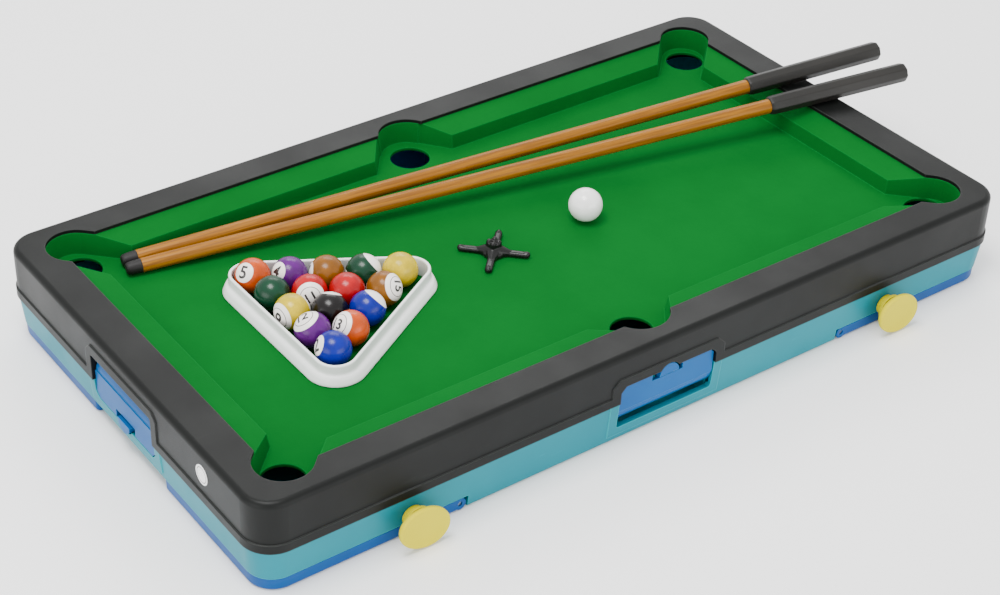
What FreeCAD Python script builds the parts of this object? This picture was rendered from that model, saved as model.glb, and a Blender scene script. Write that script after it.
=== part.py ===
import FreeCAD, Part
import math
import os
import re
import Sketcher

# A folding table-top pool table: a black frame and a green playing bed on a teal base
# that holds the potted balls, two fold-down legs, four tip-out ball doors, and the set
# that lies on it. +X runs along the table, +Z is up, and the origin is the middle of
# the underside. Sizes are in millimetres.

os.makedirs("parts", exist_ok=True)
doc = FreeCAD.newDocument("pool_table")

# ---------------------------------------------------------------- driving dimensions

SIZES = {
    # whole table
    "table_length": 540.0,
    "table_width": 296.4,
    "table_height": 61.0,
    "corner_radius": 18.0,
    "top_edge_radius": 3.6,
    "shell_wall": 2.4,
    "seam_height": 28.2,
    "flange_height": 33.8,
    "flange_out": 0.8,
    # opening over the bed, and the pockets
    "opening_length": 492.0,
    "opening_width": 252.0,
    "corner_pocket_x": 237.5,
    "corner_pocket_y": 119.5,
    "corner_pocket_radius": 16.7,
    "side_pocket_y": 117.5,
    "side_pocket_radius": 18.8,
    "hole_radius": 13.0,
    "corner_hole_x": 236.0,
    "corner_hole_y": 116.0,
    "side_hole_y": 114.0,
    # playing bed and cushions
    "bed_height": 44.5,
    "bed_plate": 2.0,
    "nose_height": 54.3,
    "cushion_width": 16.5,
    "cushion_draft": 8.7,
    "side_mouth": 31.0,
    "foot_inset": 1.5,
    "cup_wall": 1.8,
    "cup_draft": 2.2,
    # base shell
    "base_inset": 0.6,
    "base_draft": 4.76,
    "base_floor": 2.2,
    "bay_start": 137.5,
    "bay_height": 8.3,
    "support_x": 75.0,
    "support_y": 50.0,
    "support_radius": 4.0,
    "base_edge_radius": 1.6,
    # screws
    "boss_radius": 4.2,
    "side_screw_x": 95.0,
    "side_screw_y": 139.0,
    "end_screw_x": 258.5,
    "end_screw_y": 75.0,
    "shank_radius": 1.45,
    "head_radius": 2.8,
    "head_depth": 1.8,
    "screw_top": 41.0,
    # ball doors and their windows
    "window_half": 35.2,
    "window_low": 9.5,
    "window_high": 39.3,
    "window_chamfer": 3.5,
    "sill_chamfer": 1.1,
    "surround": 6.0,
    "surround_chamfer": 5.0,
    "surround_out": 0.5,
    "door_half": 34.6,
    "door_recess": 1.2,
    "door_plate": 2.4,
    "roll_radius": 11.0,
    "roll_step": 0.7,
    "door_gap": 0.5,
    "pin_radius": 2.0,
    "pin_bore": 2.1,
    "tab_radius": 7.0,
    "notch_half": 11.2,
    "notch_floor": 33.4,
    "web_thick": 1.8,
    "lug_back": 5.0,
    "lug_start": 1.0,
    "lug_end": 4.0,
    # legs
    "leg_pivot_x": 142.7,
    "leg_pivot_z": 4.0,
    "leg_barrel": 3.8,
    "leg_thick": 7.8,
    "leg_end": 267.1,
    "leg_half": 145.4,
    "leg_web": 2.2,
    "leg_arch_half": 40.0,
    "leg_arch_x": 205.0,
    "lug_inner_y": 45.0,
    "lug_outer_y": 125.0,
    "lug_wide": 6.0,
    "rib_inner_y": 44.0,
    "rib_outer_y": 92.0,
    "cross_rib_x": 190.0,
    "rib_thick": 1.8,
    "leg_wall": 2.4,
    "leg_draft": 2.2,
    "rod_radius": 1.5,
    "ear_x": 176.0,
    "ear_half": 8.0,
    "ear_thick": 3.0,
    "ear_inner_y": 138.0,
    "ear_top": 19.6,
    # leg knobs
    "knob_x": 175.6,
    "knob_z": 13.75,
    "knob_major": 16.5,
    "knob_minor": 13.2,
    "knob_plate": 3.2,
    "knob_out": 12.5,
    "knob_neck": 6.5,
    "knob_shaft": 2.7,
    "knob_tilt": 20.0,
    "knob_collar": 8.7,
    "collar_thick": 1.6,
    # label
    "label_radius": 6.0,
    "label_thick": 0.3,
    "label_y": -91.0,
    "label_z": 46.5,
    # balls and rack
    "ball_radius": 10.7,
    "ball_pitch": 21.7,
    "rest_gap": 0.3,
    "set_x": -136.2,
    "set_y": -3.1,
    "set_turn": 0.6,
    "rack_x": -135.5,
    "rack_y": -5.2,
    "rack_height": 12.2,
    "rack_bore": 12.9,
    "bore_corner": 11.0,
    "rack_wall": 14.9,
    "wall_corner": 13.0,
    "rack_ledge": 17.0,
    "ledge_corner": 15.7,
    "ledge_height": 5.4,
    "rack_foot": 19.5,
    "foot_corner": 18.7,
    "cue_ball_x": 49.6,
    "cue_ball_y": -6.8,
    # cues
    "cue_tip_radius": 4.4,
    "cue_joint_radius": 4.8,
    "cue_tip_length": 9.7,
    "cue_shaft_end": 440.0,
    "cue_length": 545.5,
    "cue_grip_radius": 6.7,
    "cue_1_tip_x": -214.8,
    "cue_1_tip_y": 104.8,
    "cue_1_butt_x": 323.0,
    "cue_1_butt_y": 17.6,
    "cue_2_tip_x": -216.5,
    "cue_2_tip_y": 95.9,
    "cue_2_butt_x": 317.4,
    "cue_2_butt_y": -14.5,
    # cue rest
    "rest_x": -20.6,
    "rest_y": -6.7,
    "rest_arm": 19.8,
    "rest_arm_half": 2.2,
    "rest_thick": 3.0,
    "rest_post": 4.1,
    "rest_height": 10.0,
    "rest_hub": 7.4,
    "rest_notch": 1.7,
}

sheet = doc.addObject("Spreadsheet::Sheet", "sizes")
for row, (alias, value) in enumerate(SIZES.items(), start=1):
    sheet.set("A%d" % row, alias)
    sheet.set("B%d" % row, "%g" % value)
    sheet.setAlias("B%d" % row, alias)
doc.recompute()

ALIAS = re.compile(r"\b(%s)\b" % "|".join(SIZES))
AXES = {"X": FreeCAD.Vector(1, 0, 0), "Y": FreeCAD.Vector(0, 1, 0), "Z": FreeCAD.Vector(0, 0, 1)}
nodes = []


# ---------------------------------------------------------------- modelling helpers

def bind(item, prop, expression):
    """Tie one property to the sheet; aliases are written bare."""
    item.setExpression(prop, ALIAS.sub(r"sizes.\1", str(expression)))


def place(item, x="0", y="0", z="0"):
    for letter, expression in zip("xyz", (x, y, z)):
        bind(item, "Placement.Base." + letter, expression)
    return item


def block(name, x, y, z):
    """A box between low and high expressions on each axis."""
    item = doc.addObject("Part::Box", name)
    for prop, (low, high) in zip(("Length", "Width", "Height"), (x, y, z)):
        bind(item, prop, "(%s) - (%s)" % (high, low))
    return place(item, x[0], y[0], z[0])


def bar(name, axis, radius, start, length):
    """A cylinder along one axis, from its start point."""
    item = doc.addObject("Part::Cylinder", name)
    bind(item, "Radius", radius)
    bind(item, "Height", length)
    turn = FreeCAD.Rotation(AXES["Z"], AXES[axis])
    item.Placement = FreeCAD.Placement(FreeCAD.Vector(), turn)
    return place(item, *start)


def fused(name, *parts):
    item = doc.addObject("Part::MultiFuse", name)
    item.Shapes = list(parts)
    return item


def cut(name, base, *tools):
    item = doc.addObject("Part::Cut", name)
    item.Base = base
    item.Tool = tools[0] if len(tools) == 1 else fused(name + "_tools", *tools)
    return item


def common(name, first, second):
    item = doc.addObject("Part::MultiCommon", name)
    item.Shapes = [first, second]
    return item


def mirrored(name, source, axis):
    item = doc.addObject("Part::Mirroring", name)
    item.Source = source
    item.Normal = AXES[axis]
    return item


def both_sides(source, axis):
    """A piece and its mirror image."""
    return [source, mirrored(source.Name + "_mirror", source, axis)]


def outline(name, plane, points, start, length, taper=None):
    """A PartDesign body: a closed sketch on an origin plane, padded along its normal."""
    body = doc.addObject("PartDesign::Body", name)
    sketch = body.newObject("Sketcher::SketchObject", name + "_sketch")
    base = [item for item in body.Origin.OriginFeatures if item.Role == plane + "_Plane"][0]
    sketch.AttachmentSupport = [(base, "")]
    sketch.MapMode = "FlatFace"
    bind(sketch, "AttachmentOffset.Base.z", start)
    count = len(points)
    ring = [FreeCAD.Vector(math.cos(2 * math.pi * step / count), math.sin(2 * math.pi * step / count))
            for step in range(count)]
    for line in range(count):
        sketch.addGeometry(Part.LineSegment(ring[line], ring[(line + 1) % count]), False)
    for line in range(count):
        sketch.addConstraint(Sketcher.Constraint("Coincident", line, 2, (line + 1) % count, 1))
    for line, corner in enumerate(points):
        for kind, rough, expression in zip(("DistanceX", "DistanceY"), ring[line], corner):
            size = sketch.addConstraint(Sketcher.Constraint(kind, -1, 1, line, 1, rough))
            bind(sketch, "Constraints[%d]" % size, expression)
    pad = body.newObject("PartDesign::Pad", name + "_pad")
    pad.Profile = sketch
    bind(pad, "Length", length)
    if taper is not None:
        bind(pad, "TaperAngle", taper)
    doc.recompute()
    return body


def upright(edge):
    """True for an edge that joins the two levels of a padded outline."""
    return abs(edge.Vertexes[0].Z - edge.Vertexes[-1].Z) > 1.0


def round_edges(body, radius, chosen):
    """Fillet the edges of the body's last feature that are chosen."""
    doc.recompute()
    feature = body.Tip
    names = ["Edge%d" % number for number, edge in enumerate(feature.Shape.Edges, start=1)
             if chosen(edge)]
    fillet = body.newObject("PartDesign::Fillet", "%s_round_%d" % (body.Name, len(body.Group)))
    fillet.Base = (feature, names)
    bind(fillet, "Radius", radius)
    doc.recompute()
    return body


def slab(name, half_x, half_y, z, corner, taper=None):
    """A block with rounded upright corners, centred on the table."""
    points = [("-(%s)" % half_x, "-(%s)" % half_y), (half_x, "-(%s)" % half_y),
              (half_x, half_y), ("-(%s)" % half_x, half_y)]
    body = outline(name, "XY", points, z[0], "(%s) - (%s)" % (z[1], z[0]), taper)
    return round_edges(body, corner, upright)


def node(label, item):
    """Name a finished sub-part; its file takes this name."""
    item.Label = label
    nodes.append(item)
    return item


def pocket_outline(half_x, half_y, radius):
    """The outline of the opening: straight rails, and a 45 degree channel to each corner pocket."""
    reach = "(%s) * sqrt(2)" % radius
    side = "(%s) / sqrt(2)" % radius
    turns = [
        ("corner_pocket_x - corner_pocket_y + (%s) - %s" % (half_y, reach), half_y),
        ("corner_pocket_x - " + side, "corner_pocket_y + " + side),
        ("corner_pocket_x + " + side, "corner_pocket_y - " + side),
        (half_x, "corner_pocket_y - corner_pocket_x + (%s) - %s" % (half_x, reach)),
    ]
    points = []
    for sign_x, sign_y in ((1, 1), (1, -1), (-1, -1), (-1, 1)):
        corner = turns if sign_x == sign_y else turns[::-1]
        points += [("%d * (%s)" % (sign_x, x), "%d * (%s)" % (sign_y, y)) for x, y in corner]
    return points


def pockets(name, z, corner_radius, side_radius, spread="0", corner_x="corner_pocket_x",
            corner_y="corner_pocket_y", side_y="side_pocket_y"):
    """Six upright cylinders or cones at the pockets, wider at the top by the spread."""
    places = [(x, y, corner_radius) for x in ("-" + corner_x, corner_x)
              for y in ("-" + corner_y, corner_y)]
    places += [("0", y, side_radius) for y in ("-" + side_y, side_y)]
    drums = []
    for number, (x, y, radius) in enumerate(places):
        drum = doc.addObject("Part::Cone", "%s_%d" % (name, number))
        bind(drum, "Radius1", radius)
        bind(drum, "Radius2", "(%s) + (%s)" % (radius, spread))
        bind(drum, "Height", "(%s) - (%s)" % (z[1], z[0]))
        drums.append(place(drum, x, y, z[0]))
    return drums


# ---------------------------------------------------------------- top frame
# One black moulding: a rounded rim with a flange along its lower edge. The flange steps
# up around each window, and the rim is open over the bed and its six pockets.

PLATE_UNDER = "table_height - shell_wall"
SCREWS = [(x, y, "base_floor") for x in ("-side_screw_x", "side_screw_x")
          for y in ("-side_screw_y", "side_screw_y")]
SCREWS += [(x, y, "bay_height + base_floor") for x in ("-end_screw_x", "end_screw_x")
           for y in ("-end_screw_y", "end_screw_y")]


def window_points(half, low, high, chamfer, sign=1):
    """A window's outline with two cut corners, on its top edge or, with sign -1, its bottom."""
    shoulder = "(%s) - %d * (%s)" % (high, sign, chamfer)
    inner = "((%s) - (%s))" % (half, chamfer)
    return [("-(%s)" % half, low), (half, low), (half, shoulder), (inner, high),
            ("-" + inner, high), ("-(%s)" % half, shoulder)]


def side_prism(name, face, points, inner, length):
    """A prism and its mirror image that stand out through two opposite side walls."""
    sides = {"long": ("XZ", "Y", "table_width / 2"), "end": ("YZ", "X", "table_length / 2")}
    plane, axis, half = sides[face]
    body = outline(name, plane, points, "%s - (%s)" % (half, inner), length)
    return both_sides(body, axis)


# the short-side windows are the long-side ones upside down about this height
FLIP = "(2 * seam_height - 0.4)"
END_LOW = FLIP + " - window_high"
END_HIGH = FLIP + " - window_low"

frame_outer = slab("frame_outer", "table_length / 2", "table_width / 2",
                   ("seam_height", "table_height"), "corner_radius")
round_edges(frame_outer, "top_edge_radius",
            lambda edge: min(vertex.Z for vertex in edge.Vertexes) > SIZES["table_height"] - 0.1)
frame_flange = slab("frame_flange", "table_length / 2 + flange_out", "table_width / 2 + flange_out",
                    ("seam_height", "flange_height"), "corner_radius + flange_out")
frame_cavity = slab("frame_cavity", "table_length / 2 - shell_wall", "table_width / 2 - shell_wall",
                    ("seam_height - 1", PLATE_UNDER), "corner_radius - shell_wall")

SURROUND_HALF = "window_half + surround"
frame_surrounds = side_prism(
    "frame_surround_long", "long",
    window_points(SURROUND_HALF, "seam_height", "window_high + surround", "surround_chamfer"),
    "1", "1 + flange_out")
frame_surrounds += side_prism(
    "frame_surround_end", "end",
    window_points(SURROUND_HALF, "seam_height", END_HIGH + " + surround", "surround_chamfer"),
    "1", "1 + flange_out")
frame_windows = side_prism(
    "frame_window_long", "long",
    window_points("window_half", "seam_height - 1", "window_high", "window_chamfer"), "6", "8")
frame_windows += side_prism(
    "frame_window_end", "end",
    window_points("window_half", "seam_height - 1", END_HIGH, "sill_chamfer"), "6", "8")
TAB_HEIGHT = "notch_floor + 1.8"
tab_arch = bar("tab_arch", "Y", "tab_radius + 0.8", ("0", "-table_width / 2 - 2", TAB_HEIGHT), "8")
frame_windows += both_sides(tab_arch, "Y")

opening = outline("opening", "XY",
                  pocket_outline("opening_length / 2", "opening_width / 2", "corner_pocket_radius"),
                  PLATE_UNDER + " - 1", "shell_wall + 2")
opening_drums = pockets("opening_pocket", (PLATE_UNDER + " - 1", "table_height + 1"),
                        "corner_pocket_radius", "side_pocket_radius")
frame_bosses = [bar("frame_boss_%d" % number, "Z", "boss_radius", (x, y, "seam_height"),
                    PLATE_UNDER + " - seam_height + 0.2")
                for number, (x, y, _) in enumerate(SCREWS)]
frame_pilots = [bar("frame_pilot_%d" % number, "Z", "shank_radius + 0.05", (x, y, "seam_height - 1"),
                    "screw_top - seam_height + 2")
                for number, (x, y, _) in enumerate(SCREWS)]
frame_skin = cut("frame_skin", fused("frame_solid", frame_outer, frame_flange, *frame_surrounds),
                 frame_cavity, opening, *opening_drums, *frame_windows)
node("top_frame", cut("top_frame", fused("frame_whole", frame_skin, *frame_bosses), *frame_pilots))


# ---------------------------------------------------------------- playing bed
# One flocked green moulding: the flat bed, cushions that slope from the rim down to a
# nose, and a round cup with a drop hole at each pocket.

RAIL_TOP = PLATE_UNDER
BED_UNDER = "bed_height - bed_plate"
NOSE_X = "opening_length / 2 - cushion_width"
NOSE_Y = "opening_width / 2 - cushion_width"
bed_block = slab("bed_block", "opening_length / 2 + 3.5", "opening_width / 2 + 3.5",
                 (BED_UNDER, RAIL_TOP), "5")
bed_cups = pockets("bed_cup", (BED_UNDER, RAIL_TOP), "corner_pocket_radius + cup_wall",
                   "side_pocket_radius + cup_wall")
play_area = outline("play_area", "XY",
                    pocket_outline(NOSE_X + " - foot_inset", NOSE_Y + " - foot_inset",
                                   "corner_pocket_radius - cup_draft"),
                    "bed_height", "16", "cushion_draft")
MOUTH_NARROW = "side_pocket_radius - 3.5"
MOUTH_WIDE = "side_mouth - foot_inset"
mouth_points = []
for half, y in ((MOUTH_WIDE, NOSE_Y + " - 2 * foot_inset"), (MOUTH_WIDE, NOSE_Y + " - foot_inset"),
                (MOUTH_NARROW, "opening_width / 2")):
    mouth_points.insert(0, ("-(%s)" % half, y))
    mouth_points.append((half, y))
side_mouths = both_sides(outline("side_mouth_cut", "XY", mouth_points, "bed_height", "16",
                                 "cushion_draft"), "Y")
SLOPE_RISE = "(table_height - shell_wall - nose_height)"
cushion_slope = outline("cushion_slope", "XY",
                        [("-(%s)" % NOSE_X, "-(%s)" % NOSE_Y), (NOSE_X, "-(%s)" % NOSE_Y),
                         (NOSE_X, NOSE_Y), ("-(%s)" % NOSE_X, NOSE_Y)],
                        "nose_height", SLOPE_RISE + " + 0.6",
                        "atan(cushion_width / %s)" % SLOPE_RISE)
cup_bores = pockets("cup_bore", ("bed_height", RAIL_TOP + " + 0.2"),
                    "corner_pocket_radius - cup_draft", "side_pocket_radius - cup_draft", "cup_draft")
drop_holes = pockets("drop_hole", (BED_UNDER + " - 1", "bed_height + 1"), "hole_radius", "hole_radius",
                     "0", "corner_hole_x", "corner_hole_y", "side_hole_y")
node("play_bed", cut("play_bed", fused("bed_solid", bed_block, *bed_cups), play_area, *side_mouths,
                     cushion_slope, *cup_bores, *drop_holes))


# ---------------------------------------------------------------- base shell
# A drafted teal tray. Its middle stands on the ground; at each end the floor is raised
# over a bay that holds a folded leg. Lugs inside carry the doors, and lugs in the bays
# carry the leg rods.

BAY_FLOOR = "bay_height + base_floor"


def base_slab(name, inset, low, high, corner):
    """A rounded block with the base's side draft, measured in from the frame's side at the seam."""
    points = [("-(table_length / 2 - (%s))" % inset, "-(table_width / 2 - (%s))" % inset),
              ("table_length / 2 - (%s)" % inset, "-(table_width / 2 - (%s))" % inset),
              ("table_length / 2 - (%s)" % inset, "table_width / 2 - (%s)" % inset),
              ("-(table_length / 2 - (%s))" % inset, "table_width / 2 - (%s)" % inset)]
    body = outline(name, "XY", points, low, "(%s) - (%s)" % (high, low), "base_draft")
    return round_edges(body, corner, upright)


BASE_LOW_INSET = "base_inset + seam_height * tan(base_draft)"
base_outer = base_slab("base_outer", BASE_LOW_INSET, "0", "seam_height", "corner_radius - 2")
round_edges(base_outer, "base_edge_radius", lambda edge: max(vertex.Z for vertex in edge.Vertexes) < 0.1)
base_cavity = base_slab("base_cavity", BASE_LOW_INSET + " + 1.6 - 0.45", BAY_FLOOR, "seam_height + 1",
                        "corner_radius - 4")
base_tub = block("base_tub", ("-bay_start + base_floor", "bay_start - base_floor"),
                 ("-table_width / 2 + 5.5", "table_width / 2 - 5.5"), ("base_floor", BAY_FLOOR + " + 1"))
leg_bays = both_sides(block("leg_bay", ("bay_start", "table_length / 2 + 5"),
                            ("-table_width / 2 - 5", "table_width / 2 + 5"), ("-1", "bay_height")), "X")

surround_stock = base_slab("surround_stock", BASE_LOW_INSET + " - surround_out", "0", "seam_height",
                           "corner_radius - 2")
surround_boxes = fused(
    "surround_boxes",
    block("surround_box_long", ("-(window_half + surround)", "window_half + surround"),
          ("-table_width / 2 - 2", "table_width / 2 + 2"), ("4.2", "seam_height")),
    block("surround_box_end", ("-table_length / 2 - 2", "table_length / 2 + 2"),
          ("-(window_half + surround)", "window_half + surround"), (END_LOW + " - 5", "seam_height")))
base_surround = common("base_surround", surround_stock, surround_boxes)

base_windows = side_prism(
    "base_window_long", "long",
    window_points("window_half", "seam_height + 1", "window_low", "sill_chamfer", -1), "7", "9")
base_windows += side_prism(
    "base_window_end", "end",
    window_points("window_half", "seam_height + 1", END_LOW, "window_chamfer", -1), "7", "9")
end_arch = bar("end_arch", "X", "tab_radius + 0.8",
               ("-table_length / 2 - 2", "0", FLIP + " - (%s)" % TAB_HEIGHT), "9")
base_windows += both_sides(end_arch, "X")

base_posts = [bar("support_%d" % number, "Z", "support_radius", (x, y, "base_floor - 0.2"),
                  BED_UNDER + " - base_floor + 0.2")
              for number, (x, y) in enumerate((x, y) for x in ("-support_x", "support_x")
                                              for y in ("-support_y", "support_y"))]
base_posts += [bar("base_boss_%d" % number, "Z", "boss_radius", (x, y, floor + " - 0.2"),
                   "seam_height - (%s) + 0.2" % floor)
               for number, (x, y, floor) in enumerate(SCREWS)]
screw_bores = []
for number, (x, y, floor) in enumerate(SCREWS):
    screw_bores.append(bar("screw_hole_%d" % number, "Z", "shank_radius + 0.15", (x, y, "-1"),
                           "seam_height + 2"))
    screw_bores.append(bar("screw_sink_%d" % number, "Z", "head_radius + 0.3", (x, y, "-1"),
                           floor + " + 1 + 2 * head_depth"))

# door lugs: a pair inside each window, bored for the door's pins
AXIS_IN = "(door_recess + roll_radius)"
DOOR_AXIS_Y = "(-table_width / 2 + %s)" % AXIS_IN
DOOR_AXIS_Z = "(window_low + door_gap + roll_radius)"
END_AXIS_X = "(-table_length / 2 + %s)" % AXIS_IN
END_AXIS_Z = "(%s - %s)" % (FLIP, DOOR_AXIS_Z)
LUG_NEAR = "door_half + lug_start"
LUG_FAR = "door_half + lug_end"
LUG_TALL = "(%s + lug_back)"
long_lugs = both_sides(block("lug_long", (LUG_NEAR, LUG_FAR),
                             (DOOR_AXIS_Y + " - lug_back", DOOR_AXIS_Y + " + lug_back"),
                             ("base_floor - 0.2", LUG_TALL % DOOR_AXIS_Z)), "X")
end_lugs = both_sides(block("lug_end", (END_AXIS_X + " - lug_back", END_AXIS_X + " + lug_back"),
                            (LUG_NEAR, LUG_FAR), (BAY_FLOOR + " - 0.2", LUG_TALL % END_AXIS_Z)), "Y")
long_bore = bar("lug_bore_long", "X", "pin_bore", ("-45", DOOR_AXIS_Y, DOOR_AXIS_Z), "90")
end_bore = bar("lug_bore_end", "Y", "pin_bore", (END_AXIS_X, "-45", END_AXIS_Z), "90")
door_lugs = both_sides(cut("lugs_long", fused("lug_pair_long", *long_lugs), long_bore), "Y")
door_lugs += both_sides(cut("lugs_end", fused("lug_pair_end", *end_lugs), end_bore), "X")

# leg hinge lugs, slots for the leg's ears, and bores for the knob shafts
hinge_lugs = []
for number, lug_y in enumerate(("-lug_outer_y", "-lug_inner_y", "lug_inner_y", "lug_outer_y")):
    lug = block("hinge_lug_%d" % number, ("bay_start - 1", "leg_pivot_x + 3.4"),
                (lug_y + " - lug_wide / 2", lug_y + " + lug_wide / 2"), ("0.5", "bay_height + 1"))
    hinge_lugs += both_sides(lug, "X")
rod_bores = both_sides(bar("rod_bore", "Y", "rod_radius + 0.05", ("leg_pivot_x", "-150", "leg_pivot_z"),
                           "300"), "X")
ear_slots = []
knob_bores = []
for number, side in enumerate((-1, 1)):
    slot_y = ("ear_inner_y - 1", "ear_inner_y + ear_thick + 1")
    if side < 0:
        slot_y = ("-ear_inner_y - ear_thick - 1", "-ear_inner_y + 1")
    slot = block("ear_slot_%d" % number, ("ear_x - ear_half - 4", "ear_x + ear_half + 6.5"), slot_y,
                 ("bay_height - 1", BAY_FLOOR + " + 1"))
    ear_slots += both_sides(slot, "X")
    bore_start = "-table_width / 2 - 2" if side < 0 else "table_width / 2 - 6"
    bore = bar("knob_bore_%d" % number, "Y", "knob_shaft + 0.1", ("knob_x", bore_start, "knob_z"), "8")
    knob_bores += both_sides(bore, "X")

base_skin = cut("base_skin", fused("base_solid", base_outer, base_surround), base_cavity, base_tub,
                *leg_bays, *base_windows)
base_whole = fused("base_whole", base_skin, *base_posts, *door_lugs, *hinge_lugs)
node("base_shell", cut("base_shell", base_whole, *screw_bores, *rod_bores, *ear_slots, *knob_bores))


# ---------------------------------------------------------------- screws
# Eight pan-head screws come up through the base's bosses into the frame's.

screws = []
for number, (x, y, floor) in enumerate(SCREWS):
    seat = "(%s) + 2 * head_depth" % floor
    head = bar("screw_head_%d" % number, "Z", "head_radius", (x, y, seat + " - head_depth"), "head_depth")
    shank = bar("screw_shank_%d" % number, "Z", "shank_radius", (x, y, seat + " - 0.2"),
                "screw_top - (%s)" % seat)
    recess = []
    for letter, half_x, half_y in (("a", 1.6, 0.35), ("b", 0.35, 1.6)):
        recess.append(block("screw_cross_%s_%d" % (letter, number),
                            ("%s - %g" % (x, half_x), "%s + %g" % (x, half_x)),
                            ("%s - %g" % (y, half_y), "%s + %g" % (y, half_y)),
                            (seat + " - head_depth - 0.1", seat + " - head_depth + 1")))
    screws.append(cut("screw_%d" % number, fused("screw_body_%d" % number, head, shank), *recess))
frame_screws = doc.addObject("Part::Compound", "frame_screws")
frame_screws.Links = screws
node("frame_screws", frame_screws)


# ---------------------------------------------------------------- legs
# A blue tray-shaped panel folded flat under each end, with an arch between its two feet,
# a barrel that turns on a steel rod, and two ears that the knobs clamp.

ARCH = [("leg_end", "-leg_arch_half"), ("leg_arch_x", "-leg_arch_half"),
        ("leg_arch_x", "leg_arch_half"), ("leg_end", "leg_arch_half")]
leg_panel = outline("leg_panel", "XY", [("leg_pivot_x", "-leg_half"), ("leg_end", "-leg_half")] + ARCH
                    + [("leg_end", "leg_half"), ("leg_pivot_x", "leg_half")], "0", "leg_thick", "leg_draft")


def at_corner(x, y):
    """Picks the upright edge nearest a corner of the leg panel."""
    def chosen(edge):
        return (upright(edge) and abs(edge.Vertexes[0].X - x) < 1 and
                abs(abs(edge.Vertexes[0].Y) - y) < 1)
    return chosen


round_edges(leg_panel, "corner_radius - 2", at_corner(SIZES["leg_end"], SIZES["leg_half"]))
round_edges(leg_panel, "12", at_corner(SIZES["leg_arch_x"], SIZES["leg_arch_half"]))
round_edges(leg_panel, "3", at_corner(SIZES["leg_end"], SIZES["leg_arch_half"]))
round_edges(leg_panel, "1.5", lambda edge: (max(vertex.Z for vertex in edge.Vertexes) < 0.1
                                            and max(vertex.X for vertex in edge.Vertexes) > 150))
INNER_END = "leg_end - leg_wall"
INNER_HALF = "(leg_half - leg_wall)"
INNER_ARCH = "leg_arch_x - leg_wall"
FOOT_EDGE = "(leg_arch_half + leg_wall)"
TRAY_START = "leg_pivot_x + leg_barrel + 1.2"
leg_tray = outline("leg_tray", "XY", [
    (TRAY_START, "-" + INNER_HALF), (INNER_END, "-" + INNER_HALF),
    (INNER_END, "-" + FOOT_EDGE), (INNER_ARCH, "-" + FOOT_EDGE),
    (INNER_ARCH, FOOT_EDGE), (INNER_END, FOOT_EDGE),
    (INNER_END, INNER_HALF), (TRAY_START, INNER_HALF)], "leg_web", "leg_thick", "leg_draft")
round_edges(leg_tray, "corner_radius - 2 - leg_wall",
            at_corner(SIZES["leg_end"] - SIZES["leg_wall"], SIZES["leg_half"] - SIZES["leg_wall"]))
leg_barrel = bar("leg_barrel", "Y", "leg_barrel", ("leg_pivot_x", "-leg_half", "leg_pivot_z"),
                 "2 * leg_half")
leg_parts = [cut("leg_shell", fused("leg_blank", leg_panel, leg_barrel), leg_tray)]
RIB_TOP = "leg_thick - 1"
for rib_y, rib_end in (("rib_inner_y", "leg_arch_x - 1"), ("rib_outer_y", "leg_end - 1.5")):
    rib = block("leg_" + rib_y, ("leg_pivot_x", rib_end),
                (rib_y + " - rib_thick / 2", rib_y + " + rib_thick / 2"), ("leg_web - 0.3", RIB_TOP))
    leg_parts += both_sides(rib, "Y")
leg_parts.append(block("leg_cross_rib", ("cross_rib_x", "cross_rib_x + rib_thick"),
                       ("-leg_half + 1.5", "leg_half - 1.5"), ("leg_web - 0.3", RIB_TOP)))
ear = block("leg_ear", ("ear_x - ear_half", "ear_x + ear_half"),
            ("ear_inner_y", "ear_inner_y + ear_thick"), ("leg_web - 0.3", "ear_top"))
leg_parts += both_sides(ear, "Y")
leg_gaps = [bar("leg_rod_bore", "Y", "rod_radius + 0.1", ("leg_pivot_x", "-150", "leg_pivot_z"), "300")]
for number, lug_y in enumerate(("-lug_outer_y", "-lug_inner_y", "lug_inner_y", "lug_outer_y")):
    leg_gaps.append(block("leg_notch_%d" % number,
                          ("leg_pivot_x - leg_barrel - 1.2", "leg_pivot_x + leg_barrel + 3.2"),
                          (lug_y + " - lug_wide / 2 - 0.6", lug_y + " + lug_wide / 2 + 0.6"), ("-1", "9")))
leg_right = node("leg_right", cut("leg_right", fused("leg_whole", *leg_parts), *leg_gaps))
node("leg_left", mirrored("leg_left", leg_right, "X"))

rod_right = bar("leg_rod_right", "Y", "rod_radius", ("leg_pivot_x", "-leg_half + 1", "leg_pivot_z"),
                "2 * leg_half - 2")
node("leg_rod_right", rod_right)
node("leg_rod_left", mirrored("leg_rod_left", rod_right, "X"))


# ---------------------------------------------------------------- leg knobs
# An oval yellow thumb plate on a round neck; its shaft goes through the base's side and
# clamps the leg's ear. Made with its axis along +Z from the table's side face.

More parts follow.
